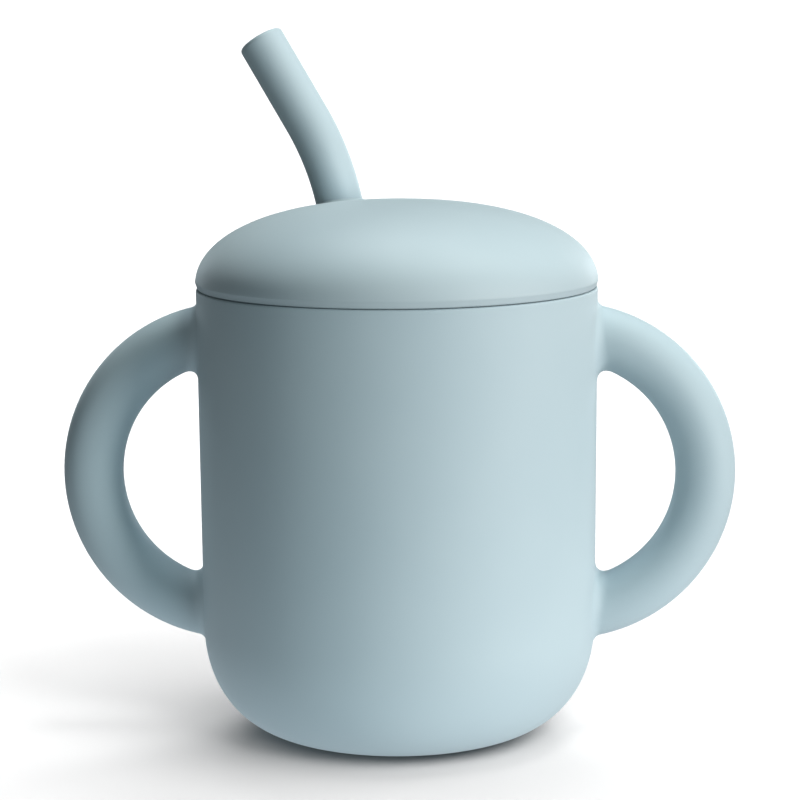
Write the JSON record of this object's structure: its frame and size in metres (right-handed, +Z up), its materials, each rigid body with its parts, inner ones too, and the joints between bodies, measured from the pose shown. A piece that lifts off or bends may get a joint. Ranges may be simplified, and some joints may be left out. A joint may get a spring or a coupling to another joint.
{
  "type": "sippy cup",
  "caption": "Soft silicone training cup with a ring handle on each side, a push-in dome lid and a bent drinking straw that pulls out of the lid.",
  "frame": {"origin": "centre of the foot, on the surface the cup stands on", "axes": "+Z up, along the cup's axis; the handles lie along X; +Y points to the side of the lid that carries the straw"},
  "size_m": [0.1216, 0.0722, 0.1269],
  "materials": {
    "cup_silicone": "matte",
    "lid_silicone": "matte",
    "straw_silicone": "matte"
  },
  "bodies": {
    "cup": {"cup_body": "cup_silicone", "left_handle": "cup_silicone", "right_handle": "cup_silicone"},
    "cover": {"lid": "lid_silicone"},
    "spout": {"straw": "straw_silicone"}
  },
  "joints": [
    {"name": "lid_lift", "type": "slide", "parent": "cup", "child": "cover", "axis": [0, 0, 1], "range_m": [0, 0.1]},
    {"name": "straw_pull", "type": "slide", "parent": "cover", "child": "spout", "axis": [-0.2106, 0, 0.9776], "range_m": [0, 0.095]}
  ]
}
